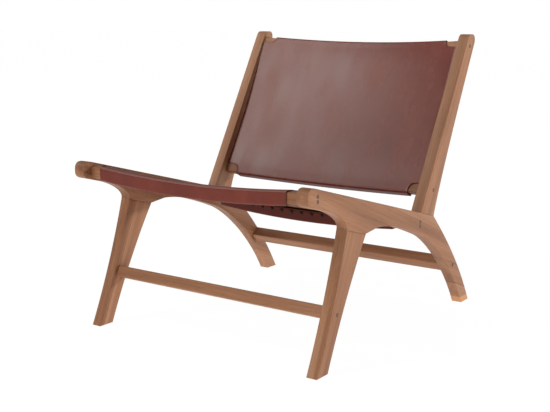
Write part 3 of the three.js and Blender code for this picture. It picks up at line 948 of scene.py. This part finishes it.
@dataclass
class SideFrame:
    """One side frame: rail with boss and rear leg, front leg, and back post, each a flat board.

    A run is measured along Y from the nose, unless its comment says otherwise, and a drop down from the
    rail's top edge. A pull is the step from a curve's end to its control point.
    """

    side: Side
    layout: Layout
    arris: float = 2.0
    foot_ease: float = 1.0
    joint_ease: float = 0.7
    joint_runs: Point = (158.0, 241.0)
    joint_below_rail: float = 34.0
    # Round of the nose's top and low corners: along the edge, then down or up the nose.
    nose_round: Point = (32.0, 25.0)
    chin_round: Point = (15.0, 12.0)
    boss_run: float = 79.0
    boss_pulls: Point = (28.0, 23.5)
    # Flare behind the boss from the joint's rear end, and the arch's spring from the heel.
    flare_from: Point = (52.0, 58.0)
    spring_from: Point = (286.0, 57.0)
    waist_pull: float = 70.0
    waist_drops: Point = (41.0, 49.0)
    heel_pulls: tuple[Point, Point] = ((-62.0, 107.0), (97.0, -89.0))
    arch_pulls: tuple[Point, Point] = ((76.5, -33.5), (-58.5, 102.5))
    rear_foot: float = 43.0
    toe_runs: Point = (40.6, 85.0)
    leg_hollow: float = 7.0
    # The post's head: breadth and drop of the shoulder, and where its rounds start.
    shoulder: Point = (46.5, 21.0)
    shoulder_pull: float = 3.0
    crown_run: float = 14.0
    brow_run: float = 7.0
    chin_drop: float = 14.0
    rear_leans: Point = (18.7, 27.8)
    # Slopes of the grain in rail, leg and post, and the places of the panel's glue lines in metres.
    grain_slopes: Triple = (21.5, -66.0, -62.0)
    panel_lines: Triple = (0.1773, 0.2253, 0.2913)

    def _joint(self) -> tuple[Point, Point]:
        """Front and rear ends of the joint between boss and leg."""
        lay, depth = self.layout, self.layout.rail_depth + self.joint_below_rail
        return tuple(lay.below_top(lay.nose + run, depth) for run in self.joint_runs)

    def rail_edges(self) -> list[Edge]:
        """Outline of the rail: foot, back of the leg, top edge, nose, boss, waist and arch.

        Returns:
            The edges in order.
        """
        lay, ease = self.layout, self.arris
        front, rear = self._joint()
        heel, foot = (lay.heel, 0.0), (lay.heel - self.rear_foot, 0.0)
        post_back = lay.below_top(lay.post_foot + lay.post_depth)
        post_front = lay.below_top(lay.post_foot)
        nose, chin = lay.below_top(lay.nose), lay.below_top(lay.nose, lay.rail_depth)
        nose_top = lay.below_top(lay.nose + self.nose_round[0])
        nose_low = moved(nose, (0.0, -self.nose_round[1]))
        chin_top = moved(chin, (0.0, self.chin_round[1]))
        chin_low = lay.below_top(lay.nose + self.chin_round[0], lay.rail_depth)
        boss = lay.below_top(lay.nose + self.boss_run, lay.rail_depth)
        boss_way = lay.below_top(boss[0] + self.boss_pulls[0], lay.rail_depth)
        leg_way = moved(front, self.boss_pulls[1] * lay.squared)
        flare = lay.below_top(rear[0] + self.flare_from[0], self.flare_from[1])
        spring = lay.below_top(lay.heel - self.spring_from[0], self.spring_from[1])
        waist_front = lay.below_top(flare[0] + self.waist_pull, self.waist_drops[0])
        waist_rear = lay.below_top(spring[0] - self.waist_pull, self.waist_drops[1])
        heel_way, post_way = moved(heel, self.heel_pulls[0]), moved(post_back, self.heel_pulls[1])
        spring_way, foot_way = moved(spring, self.arch_pulls[0]), moved(foot, self.arch_pulls[1])
        return [
            Edge((foot, heel), self.foot_ease),
            Edge((heel, heel_way, post_way, post_back), ease),
            Edge((post_back, post_front), self.joint_ease),
            Edge((post_front, nose_top), ease),
            Edge((nose_top, nose, nose_low), ease),
            Edge((nose_low, chin_top), ease),
            Edge((chin_top, chin, chin_low), ease),
            Edge((chin_low, boss), ease),
            Edge((boss, boss_way, leg_way, front), ease),
            Edge((front, rear), self.joint_ease),
            Edge((rear, flare), ease),
            Edge((flare, waist_front, waist_rear, spring), ease),
            Edge((spring, spring_way, foot_way, foot), ease),
        ]

    def leg_edges(self) -> list[Edge]:
        """Outline of the front leg, whose long edges are hollowed.

        Returns:
            The edges in order.
        """
        lay, ease = self.layout, self.arris
        front, rear = (moved(end, -lay.seam * lay.squared) for end in self._joint())
        toe, back = ((lay.nose + run, 0.0) for run in self.toe_runs)
        return [
            Edge((toe, back), self.foot_ease),
            Edge((back, hollowed(back, rear, -self.leg_hollow), rear), ease),
            Edge((rear, front), self.joint_ease),
            Edge((front, hollowed(toe, front, self.leg_hollow), toe), ease),
        ]

    def post_edges(self) -> list[Edge]:
        """Outline of the back post, tapered upwards with a rounded head.

        The rear edge leaves heel and shoulder by its two leans, whose lines meet in its control point.

        Returns:
            The edges in order.
        """
        lay, ease, top = self.layout, self.arris, self.layout.post_top
        base = moved(lay.below_top(lay.post_foot), lay.seam * lay.squared)
        heel = moved(lay.below_top(lay.post_foot + lay.post_depth), lay.seam * lay.squared)
        breadth, drop = self.shoulder
        shoulder = (lay.post_front(top - drop) + breadth, top - drop)
        low_lean, top_lean = (math.tan(math.radians(lean)) for lean in self.rear_leans)
        run, rise = shoulder[0] - heel[0], shoulder[1] - heel[1]
        bend = (run - top_lean * rise) / (low_lean - top_lean)
        knee = moved(heel, (low_lean * bend, bend))
        head = (lay.post_front(top), top)
        chin = (lay.post_front(top - self.chin_drop), top - self.chin_drop)
        crown = (shoulder[0] - self.crown_run, top)
        brow = (head[0] + self.brow_run, top)
        return [
            Edge((base, heel), self.joint_ease),
            Edge((heel, knee, shoulder), ease),
            Edge((shoulder, (shoulder[0] + self.shoulder_pull, top), crown), ease),
            Edge((crown, brow), ease),
            Edge((brow, head, chin), ease),
            Edge((chin, base), ease),
        ]

    def timbers(self) -> list[Timber]:
        """Finishes of the boards, each with the grain along it.

        Returns:
            Those of rail, leg and post.
        """
        name, look = self.side.name.lower(), LOOKS[self.side]
        ways = [(0.0, math.radians(slope), QUARTER) for slope in self.grain_slopes]
        rail = Timber(
            f"{name}_panel_timber",
            ways[0],
            0.0,
            lines=self.panel_lines,
            tones=look.panel_tones_and_shade,
            seams=look.panel_seams,
            pale_below=look.pale_below,
            soaked_end=self.layout.nose * MM,
            soak=look.soak,
        )
        leg = Timber(
            f"{name}_leg_timber",
            ways[1],
            look.seed,
            lines=(look.leg_line,),
            tones=look.leg_tones_and_shadow,
            seams=(0.0,),
        )
        return [rail, leg, Timber(f"{name}_post_timber", ways[2], look.seed + 1.0, look.post_tone)]

    def build(self) -> None:
        """Make and dress the three boards."""
        low_x, high_x = sorted(self.side.value * x for x in (self.layout.inner_x, self.layout.outer_x))
        outlines = {
            "side_rail": self.rail_edges(),
            "front_leg": self.leg_edges(),
            "back_post": self.post_edges(),
        }
        for (part, edges), timber in zip(outlines.items(), self.timbers()):
            node = f"{self.side.name.lower()}_{part}"
            shell = board_shell(edges, low_x, high_x, self.arris)
            piece = shell.piece(f"{node}_board", [timber.material()], Slot.FRAME)
            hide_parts(node)


@dataclass
class CrossPieces:
    """Four dished rails and two stretchers between the side frames.

    A stretcher is placed by its Y and Z, and turned about X by degrees. A bar's grain starts at seed, and
    each next one's a step further.
    """

    layout: Layout
    arris: float = 2.4
    stretcher: Triple = (28.0, 32.0, 0.0)
    front_stretcher: Triple = (-282.9, 126.0, -23.5)
    rear_stretcher: Triple = (301.5, 119.0, 36.5)
    tones: tuple[float, float, float, float] = (-0.15, 0.0, -0.75, 0.7)
    seed: float = 0.2
    seed_step: float = 0.63

    def bars(self) -> list[Bar]:
        """The bars.

        Returns:
            Seat rails, back rails and stretchers.
        """
        lay = self.layout
        bars = [
            Bar("front_seat_rail", lay.seat_rail, 0.0, lay.front_rail, self.tones[0]),
            Bar("rear_seat_rail", lay.seat_rail, 0.0, lay.rear_rail, self.tones[1]),
            Bar("lower_back_rail", lay.low_back_rail, lay.back_turn, lay.low_back, self.tones[2]),
            Bar("top_back_rail", lay.top_back_rail, lay.back_turn, lay.top_back, self.tones[3]),
        ]
        stretchers = {"front_stretcher": self.front_stretcher, "rear_stretcher": self.rear_stretcher}
        for name, (y, z, turn) in stretchers.items():
            bars.append(Bar(name, self.stretcher, math.radians(turn), np.array([y, z])))
        return bars

    def build(self) -> None:
        """Make and dress the bars."""
        half = self.layout.inner_x - self.layout.seam
        for number, bar in enumerate(self.bars()):
            seed = self.seed_step * number + self.seed
            timber = Timber(f"{bar.name}_timber", (0.0, 0.0, 0.0), seed, bar.tone)
            piece = bar.shell(half, self.arris).piece(f"{bar.name}_bar", [timber.material()], Slot.FRAME)
            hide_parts(bar.name)


@dataclass(frozen=True)
class NailRow:
    """A row of domed nail heads along a flap's end."""

    count: int = 17
    radius: float = 5.2
    rise: float = 2.6
    from_end: float = 5.2
    from_side: float = 16.0
    sides: int = 12
    levels: int = 4

    def dome(self) -> Array:
        """One head: a quarter of an ellipse, turned about its axis.

        Returns:
            Points by level and side: two along the leather, the third out of it.
        """
        level = np.linspace(0.0, QUARTER, self.levels + 1)[:-1, None]
        turn = circle(self.sides)
        ring = self.radius * np.cos(level)
        rise = np.broadcast_to(self.rise * np.sin(level), (self.levels, self.sides))
        return np.stack([ring * np.cos(turn), ring * np.sin(turn), rise], axis=-1)


@dataclass
class Sling:
    """A leather sheet that runs round its rails as a belt round rollers, nailed at both ends.

    rounds are the middles of the rails' corner rounds in the belt's clockwise order. After round number
    span the sheet runs free to the next; it lies on the rails over the two runs, where it is notched. From
    each round in shaded_rounds to the next, the grain side is darker, a painted shade. The bends at the
    rounds in rubbed_highlight are rubbed, with a paler painted highlight where their outward side points up
    by more than highlight_above.
    """

    name: str
    layout: Layout
    rounds: Array
    span: int
    runs: Point
    sag: float
    dishes: Point
    dish_way: Array
    shaded_rounds: tuple[int, ...]
    rubbed_highlight: tuple[int, ...] = ()
    shift: float = 0.0
    thickness: float = 2.6
    corner: float = 2.3
    full_half: float = 310.4
    wrap_half: float = 274.0
    highlight_above: float = 0.5
    notch: float = 20.0
    notch_points: int = 15
    notch_crowding: float = 1.6
    free_points: int = 101
    free_margin: float = 0.25
    flat_points: int = 8
    bend_degrees: float = 8.0
    columns: int = 97
    same_place: float = 0.01

    def stations(self) -> dict[str, Array]:
        """The belt's path.

        Each straight is the line between two rounds, moved to its left by the bend's radius; each bend
        turns clockwise about its round, from the straight before it to the one after.

        Returns:
            Middles, outward sides, half widths, offsets across, shares of the way between the rails, and
            the grain side's finish numbers.
        """
        radius = self.corner + self.thickness / 2.0
        along = unit(np.diff(self.rounds, axis=0))
        left = np.stack([-along[:, 1], along[:, 0]], axis=1)
        heading = np.arctan2(left[:, 1], left[:, 0])
        arrive = np.append(heading[0], heading)
        sweep = np.mod(arrive - np.append(heading, heading[-1]), 4.0 * QUARTER)
        stretches = []
        for number, centre in enumerate(self.rounds):
            share = float(number > self.span)
            # painted shade: from a round in shaded_rounds to the next, the grain side takes the darker
            # finish
            face = Face.FOLDED if number in self.shaded_rounds else Face.GRAIN
            count = math.ceil(math.degrees(sweep[number]) / self.bend_degrees) + 1
            angle = arrive[number] - sweep[number] * np.linspace(0.0, 1.0, count)
            side = np.stack([np.cos(angle), np.sin(angle)], axis=1)
            # painted highlight: a rubbed bend takes the paler finish where its outward side points up
            highlit = (number in self.rubbed_highlight) & (side[:, 1] > self.highlight_above)
            finish = np.where(highlit, int(Face.RUBBED_HIGHLIGHT), int(face))
            stretches.append(self._wrapped(centre + radius * side, side, share, finish))
            if number == len(left):
                break
            start, end = self.rounds[number : number + 2] + radius * left[number]
            if number == self.span:
                stretches.append(self._free_run(start, end, left[number]))
            else:
                steps = np.linspace(0.0, 1.0, self.flat_points)[1:-1, None]
                flat = start + steps * (end - start)
                side = np.broadcast_to(left[number], flat.shape)
                stretches.append(self._wrapped(flat, side, share, int(face)))
        path = {key: np.concatenate([stretch[key] for stretch in stretches]) for key in stretches[0]}
        step = np.linalg.norm(np.diff(path["middle"], axis=0), axis=1)
        fresh = np.append(True, step > self.same_place)
        return {key: values[fresh] for key, values in path.items()}

    def _wrapped(self, middle: Array, side: Array, share: float, finish: Any) -> dict[str, Array]:
        """Stations on a rail, at the width of the wrap."""
        same = {"half": self.wrap_half, "offset": self.shift, "share": share, "finish": finish}
        return {"middle": middle, "side": side} | {key: np.full(len(middle), same[key]) for key in same}

    def _free_run(self, start: Array, end: Array, side: Array) -> dict[str, Array]:
        """The run from rail to rail, with a quarter-round notch at each end.

        At a share s of the way it is lowered by sag (4 s (1 - s))^2.

        Args:
            start: where the first bend ends.
            end: where the next bend starts.
            side: the outward direction.

        Returns:
            The stations.
        """
        length = float(np.linalg.norm(end - start))
        near, far = self.runs
        free = length - near - far
        down = np.linspace(1.0, 0.0, self.notch_points) ** self.notch_crowding
        widths = self.wrap_half + self.notch * (1.0 - np.sqrt(1.0 - (1.0 - down) ** 2))
        first = near - down * min(self.notch, near)
        last = (length - far + down * min(self.notch, far))[::-1]
        way = np.linspace(0.0, 1.0, self.free_points)
        open_run = near + self.free_margin + (free - 2.0 * self.free_margin) * way
        run = np.concatenate([first, open_run, last])
        share = np.clip((run - near) / free, 0.0, 1.0)
        middle = start + (run / length)[:, None] * (end - start)
        return {
            "middle": middle - side * (self.sag * (4.0 * share * (1.0 - share)) ** 2)[:, None],
            "side": np.broadcast_to(side, middle.shape),
            "half": np.concatenate([widths, np.full(len(way), self.full_half), widths[::-1]]),
            "offset": self.shift * np.concatenate([down, 0.0 * way, down[::-1]]),
            "share": share,
            "finish": np.full(len(share), int(Face.GRAIN)),
        }

    def _dish(self, share: Array, x: Array) -> Array:
        """Vectors of the rails' dish at a share of the way between them, times 1 - (x / half span)^2."""
        depth = self.dishes[0] + (self.dishes[1] - self.dishes[0]) * share
        return (depth * (1.0 - (x / self.layout.half_span) ** 2))[..., None] * self.dish_way

    def shell(self) -> Shell:
        """The sheet: a thin ring section with rounded cut edges, carried along the stations.

        The ring runs across the grain side, round one edge, back across the flesh side and round the other
        edge. Each cut end is closed by quads from face to face, and by a polygon at each edge.

        Returns:
            The closed surface.
        """
        path = self.stations()
        face = np.linspace(-1.0, 1.0, self.columns)
        turn = np.linspace(QUARTER, -QUARTER, ROUND_POINTS)[1:-1]
        flat, ones = np.zeros(len(face)), np.ones(len(turn))
        across = np.concatenate([face, ones, face[::-1], -ones])
        edge = np.concatenate([flat, np.cos(turn), flat, -np.cos(turn)])
        lift = np.concatenate([flat + 1.0, np.sin(turn), flat - 1.0, -np.sin(turn)])
        corner = len(face) - 1
        back = corner + len(turn) + len(face)
        kind = np.full(len(across), int(Face.CUT))
        kind[:corner] = Face.GRAIN
        kind[corner + len(turn) + 1 : back] = Face.FLESH
        half_thick = self.thickness / 2.0
        x = across * (path["half"][:, None] - half_thick) + edge * half_thick + path["offset"][:, None]
        thick = path["side"][:, None, :] * (lift * half_thick)[:, None]
        points = np.empty((*x.shape, 3))
        points[..., 0] = x
        points[..., 1:] = path["middle"][:, None, :] + self._dish(path["share"][:, None], x) + thick
        cut = [np.array([here, here + 1, back - here - 1, back - here]) for here in range(corner)]
        cut.append(np.arange(corner, corner + len(turn) + 2))
        cut.append(np.append(np.arange(back, len(across)), 0))
        last = (len(x) - 1) * len(across)
        ends = [polygon[::-1] for polygon in cut] + [polygon + last for polygon in cut]
        finish = np.where(kind == Face.GRAIN, path["finish"][:-1, None], kind).reshape(-1)
        return Shell(points.reshape(-1, 3), grid_quads(*x.shape), ends, finish, Face.CUT)

    def flat_size(self) -> Triple:
        """Measures of the cut sheet, along its middle layer.

        Returns:
            Width, length and area, in metres.
        """
        path = self.stations()
        step = np.linalg.norm(np.diff(path["middle"], axis=0), axis=1)
        mean_half = (path["half"][1:] + path["half"][:-1]) / 2.0
        area = float((2.0 * mean_half * step).sum()) * MM * MM
        return 2.0 * self.full_half * MM, float(step.sum()) * MM, area

    def nails(self, row: NailRow) -> Shell:
        """Nail heads along both flaps: one dome, set at every place.

        Args:
            row: the heads of one flap.

        Returns:
            All heads as one surface.
        """
        path = self.stations()
        own = row.dome()
        x = np.linspace(-1.0, 1.0, row.count) * (self.wrap_half - row.from_side) + self.shift
        heads = np.empty((2, row.count, *own.shape))
        heads[..., 0] = x[:, None, None] + own[..., 0]
        for flap, (end, inward) in zip(heads, [(0, 1), (-1, -2)]):
            middle, side = path["middle"][end], path["side"][end]
            along = unit(path["middle"][inward] - middle)
            seat = middle + along * row.from_end + side * self.thickness / 2.0
            seats = seat + self._dish(path["share"][end], x)
            flap[..., 1:] = seats[:, None, None] + own[..., 1:2] * along + own[..., 2:] * side
        return Shell.of_grids(heads.reshape(-1, *own.shape))


@dataclass
class LeatherWork:
    """Seat and back slings with their nails.

    seat_run is how far the seat lies on past a rail's bend, and back_short by how much the back's runs stop
    short of the edges of the lower and top rail.
    """

    layout: Layout
    nails: NailRow = NailRow()
    flap: float = 23.0
    ease: float = 2.0
    seat_shift: float = -5.5
    seat_sag: float = 8.0
    seat_run: float = 20.0
    back_sag: float = 5.0
    back_lip: float = 1.6
    back_short: Point = (4.0, 2.0)

    def _corners(self, at: Array, height: float, breadth: float, lean: float) -> dict[str, Array]:
        """Middles of a rail's corner rounds.

        Args:
            at: middle of the rail's end.
            height: of the rail.
            breadth: of the rail.
            lean: angle by which it leans back.

        Returns:
            The middles by name.
        """
        y, z = breadth / 2.0 - self.ease, height / 2.0 - self.ease
        places = {"front_top": (-y, z), "front_low": (-y, -z), "back_top": (y, z), "back_low": (y, -z)}
        return {name: np.array(place) @ turning(-lean) + at for name, place in places.items()}

    def seat(self) -> Sling:
        """The seat sling, round the front and rear seat rails.

        Returns:
            The sling; its flaps go up behind the front rail and up before the rear one.
        """
        lay = self.layout
        height, breadth, dish = lay.seat_rail
        front = self._corners(lay.front_rail, height, breadth, 0.0)
        rear = self._corners(lay.rear_rail, height, breadth, 0.0)
        up = np.array([0.0, self.flap])
        rounds = [front["back_low"] + up]
        rounds += [front[corner] for corner in ("back_low", "front_low", "front_top", "back_top")]
        rounds += [rear[corner] for corner in ("back_top", "back_low", "front_low")]
        rounds.append(rear["front_low"] + up)
        return Sling(
            "seat_sling",
            lay,
            np.array(rounds),
            span=4,
            runs=(self.seat_run, self.seat_run + breadth),
            sag=self.seat_sag,
            dishes=(dish, dish),
            dish_way=np.array([0.0, -1.0]),
            # painted shade on the rear rail's underside and flap, under the seat; painted highlight on the
            # front rail's top bend
            shaded_rounds=(6, 7, 8),
            rubbed_highlight=(3,),
            shift=self.seat_shift,
        )

    def back(self) -> Sling:
        """The back sling, round the lower and top back rails.

        Returns:
            The sling; its flaps lie behind the rails, and its lower bend is a lip below the rail.
        """
        lay = self.layout
        lean = QUARTER - lay.back_turn
        depth, low_height, low_dish = lay.low_back_rail
        _, top_height, top_dish = lay.top_back_rail
        low = self._corners(lay.low_back, low_height, depth, lean)
        top = self._corners(lay.top_back, top_height, depth, lean)
        lip = self.back_lip * lay.up_back
        rounds = [low["back_low"] + self.flap * lay.up_back, low["back_low"] - lip, low["front_low"] - lip]
        rounds += [top[corner] for corner in ("front_top", "back_top", "back_low")]
        low_run = low_height + self.back_lip - self.ease - self.back_short[0]
        return Sling(
            "back_sling",
            lay,
            np.array(rounds),
            span=2,
            runs=(low_run, top_height - self.ease - self.back_short[1]),
            sag=self.back_sag,
            dishes=(low_dish, top_dish),
            dish_way=np.array([lay.up_back[1], -lay.up_back[0]]),
            # painted shade on the back's rear flap and on the wrap under the lower rail
            shaded_rounds=(0, 1),
        )

    def build(self) -> None:
        seat_hide = Hide("seat_hide", tone=-0.05, gloss=0.46, shine=0.24).material()
        back_hide = Hide("back_hide").material()
        # painted shade: the back's rear flap and the wrap under its lower rail are darker
        shade_finish = Hide("folded_hide", tone=-0.4, gloss=0.5).material()
        # painted shade: the seat's rear flap, under the seat, is darker
        flap = Hide("seat_flap_painted_shade", tone=-0.4, gloss=0.5, shine=0.2).material()
        # rubbed leather with a painted highlight: a pale tone on the upper part of the front rail's top
        # bend
        rubbed_highlight = Hide("rubbed_highlight_hide", tone=1.0, gloss=0.3, shine=0.9).material()
        flesh = Suede("hide_flesh", srgb(96, 60, 47), srgb(134, 92, 74)).material()
        cut = Suede("hide_cut_edge", srgb(88, 46, 38), srgb(118, 68, 57)).material()
        nail = Metal("nail_head", srgb(38, 30, 27), srgb(70, 58, 52), 0.42).material()
        seat_rails, back_rails = ["front_seat_rail", "rear_seat_rail"], ["lower_back_rail", "top_back_rail"]
        for sling, node, rails, finishes in [
            (self.seat(), "seat_leather", seat_rails, [seat_hide, flesh, cut, flap, rubbed_highlight]),
            (self.back(), "back_leather", back_rails, [back_hide, flesh, cut, shade_finish]),
        ]:
            sheet = sling.shell().piece(sling.name, finishes, Slot.LEATHER)
            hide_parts(node)
            row = sling.nails(self.nails).piece(f"{sling.name}_nails", [nail], Slot.STEEL)
            width, length, area = sling.flat_size()
            log.info("%s flat: %.3f by %.3f m, %.3f m2", sling.name, width, length, area)


@dataclass
class Fixings:
    """Plugs over the screws, and the hidden screws and dowels."""

    layout: Layout
    radius: float = 4.5
    proud: float = 0.35
    depth: float = 6.0
    rim: float = 1.2
    sides: int = 32
    edge_points: int = 4

    def plug_places(self) -> Array:
        """Screw places (Y, Z), one a row: the middles of the right side's packed plugs."""
        boxes = np.array([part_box(node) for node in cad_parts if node.startswith("right_plug_")])
        return boxes.mean(axis=1)[:, 1:] / MM

    def plug_shell(self, side: Side) -> Shell:
        """Plugs of one side: a disc with a quarter-round edge, turned about X, set at every screw.

        Args:
            side: which side frame.

        Returns:
            All plugs as one surface, with the rim's finish on all but the flat ends.
        """
        edge = np.linspace(0.0, QUARTER, self.edge_points)
        rounded = self.radius - self.proud * (1.0 - np.cos(edge))
        radius = np.concatenate([[self.radius], rounded, [self.radius - self.rim]])[:, None]
        rise = np.concatenate([[-self.depth], self.proud * np.sin(edge), [self.proud]])[:, None]
        places = self.plug_places()[:, None, None, :]
        turn = circle(self.sides)
        points = np.empty((len(places), len(rise), self.sides, 3))
        points[..., 0] = side.value * (self.layout.outer_x + rise)
        points[..., 1:] = places + np.stack([radius * np.cos(turn), radius * np.sin(turn)], axis=-1)
        return Shell.of_grids(points, 1)

    def build(self) -> None:
        """Make the plugs, and dress the hidden screws and dowels."""
        plug = EndGrain("plug_end_grain", srgb(96, 63, 43), srgb(130, 90, 63)).material()
        rim = EndGrain("plug_glue_line", srgb(42, 26, 18), srgb(64, 41, 29)).material()
        dowel = EndGrain("dowel_beech", srgb(176, 138, 98), srgb(208, 174, 134)).material()
        screw = Metal("screw_zinc", srgb(150, 154, 158), srgb(205, 208, 212), 0.35).material()
        for side in Side:
            name = side.name.lower()
            piece = self.plug_shell(side).piece(f"{name}_plugs", [plug, rim], Slot.PLUG)
            nodes = [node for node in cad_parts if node.startswith(f"{name}_plug_")]
            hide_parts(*nodes)
        for node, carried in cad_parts.items():
            finish = screw if "_screw_" in node else dowel if "_dowel_" in node else None
            if finish is not None:
                carried.data.materials.clear()
                carried.data.materials.append(finish)


def aimed(name: str, data: Any, at: Triple, aim: Triple) -> bpy.types.Object:
    """Put a lamp or camera into the scene.

    Args:
        name: the object's name.
        data: the lamp's or camera's data.
        at: its place.
        aim: the place it looks at.

    Returns:
        The object.
    """
    made = bpy.data.objects.new(name, data)
    made.location = at
    made.rotation_euler = (Vector(aim) - Vector(at)).to_track_quat("-Z", "Y").to_euler()
    bpy.context.scene.collection.objects.link(made)
    return made


@dataclass(frozen=True)
class Lamp:
    """A round area light at a place, turned to an aim."""

    name: str
    at: Triple
    aim: Triple
    size: float
    watts: float
    tint: Triple = (1.0, 1.0, 1.0)

    def build(self) -> None:
        """Add the light to the scene."""
        data = bpy.data.lights.new(self.name, "AREA")
        data.shape = "DISK"
        data.size = self.size
        data.energy = self.watts
        data.color = self.tint
        aimed(self.name, data, self.at, self.aim)


@dataclass
class Studio:
    """Lit white floor and background, soft lights and the photograph's camera."""

    camera_at: Triple = (1.4578, -2.0974, 0.7843)
    camera_aim: Triple = (0.0, -0.0404, 0.29376)
    lens: float = 65.89
    sensor: float = 36.0
    far: float = 100.0
    floor_reach: float = 30.0
    floor_finish: LitFloor = LitFloor("floor_white")
    sky: float = 0.24
    sky_gloss: float = 0.2
    lamps: tuple[Lamp, ...] = (
        Lamp("right_key", (7.0, 0.75, 0.51), (0.0, -0.1, 0.3), 0.18, 140.0),
        Lamp("right_back_fill", (2.9, 1.7, 1.0), (0.0, 0.0, 0.35), 1.6, 7.0),
        Lamp("front_softbox", (-2.84, -3.98, 5.3), (0.0, 0.25, 0.5), 2.6, 155.0, (1.0, 0.94, 0.89)),
        Lamp("left_fill", (-3.2, -0.3, 1.2), (0.0, 0.0, 0.35), 1.6, 14.0),
    )

    def world(self) -> None:
        """Soft grey light, white where it is seen."""
        world = bpy.data.worlds.new("studio")
        world.use_nodes = True
        bpy.context.scene.world = world
        g = Graph(world.node_tree)
        strength = self.sky + g.seen(self.sky_gloss) * (1.0 - self.sky)
        back = g.node("Background", None, {"Color": WHITE, "Strength": strength})
        g.node("OutputWorld", None, {"Surface": back})

    def floor(self) -> None:
        """A lit white floor that keeps a faint shadow."""
        reach = self.floor_reach
        corners = [(-reach, -reach, 0.0), (reach, -reach, 0.0), (reach, reach, 0.0), (-reach, reach, 0.0)]
        mesh = bpy.data.meshes.new("floor")
        mesh.from_pydata(corners, [], [(0, 1, 2, 3)])
        mesh.materials.append(self.floor_finish.material())
        made = bpy.data.objects.new("floor", mesh)
        bpy.context.scene.collection.objects.link(made)

    def camera(self) -> None:
        """The photograph's camera."""
        data = bpy.data.cameras.new("camera")
        data.lens = self.lens
        data.sensor_width = self.sensor
        data.clip_end = self.far
        bpy.context.scene.camera = aimed("camera", data, self.camera_at, self.camera_aim)

    def build(self) -> None:
        """Set the stage."""
        bpy.context.scene.view_settings.view_transform = "Standard"
        self.camera()
        self.world()
        self.floor()
        for lamp in self.lamps:
            lamp.build()


def main() -> None:
    """Build the chair and its studio."""
    logging.basicConfig(level=logging.INFO, format="%(name)s: %(message)s")
    layout = Layout()
    Studio().build()
    for side in Side:
        SideFrame(side, layout).build()
    CrossPieces(layout).build()
    LeatherWork(layout).build()
    Fixings(layout).build()


if __name__ == "__main__":
    main()
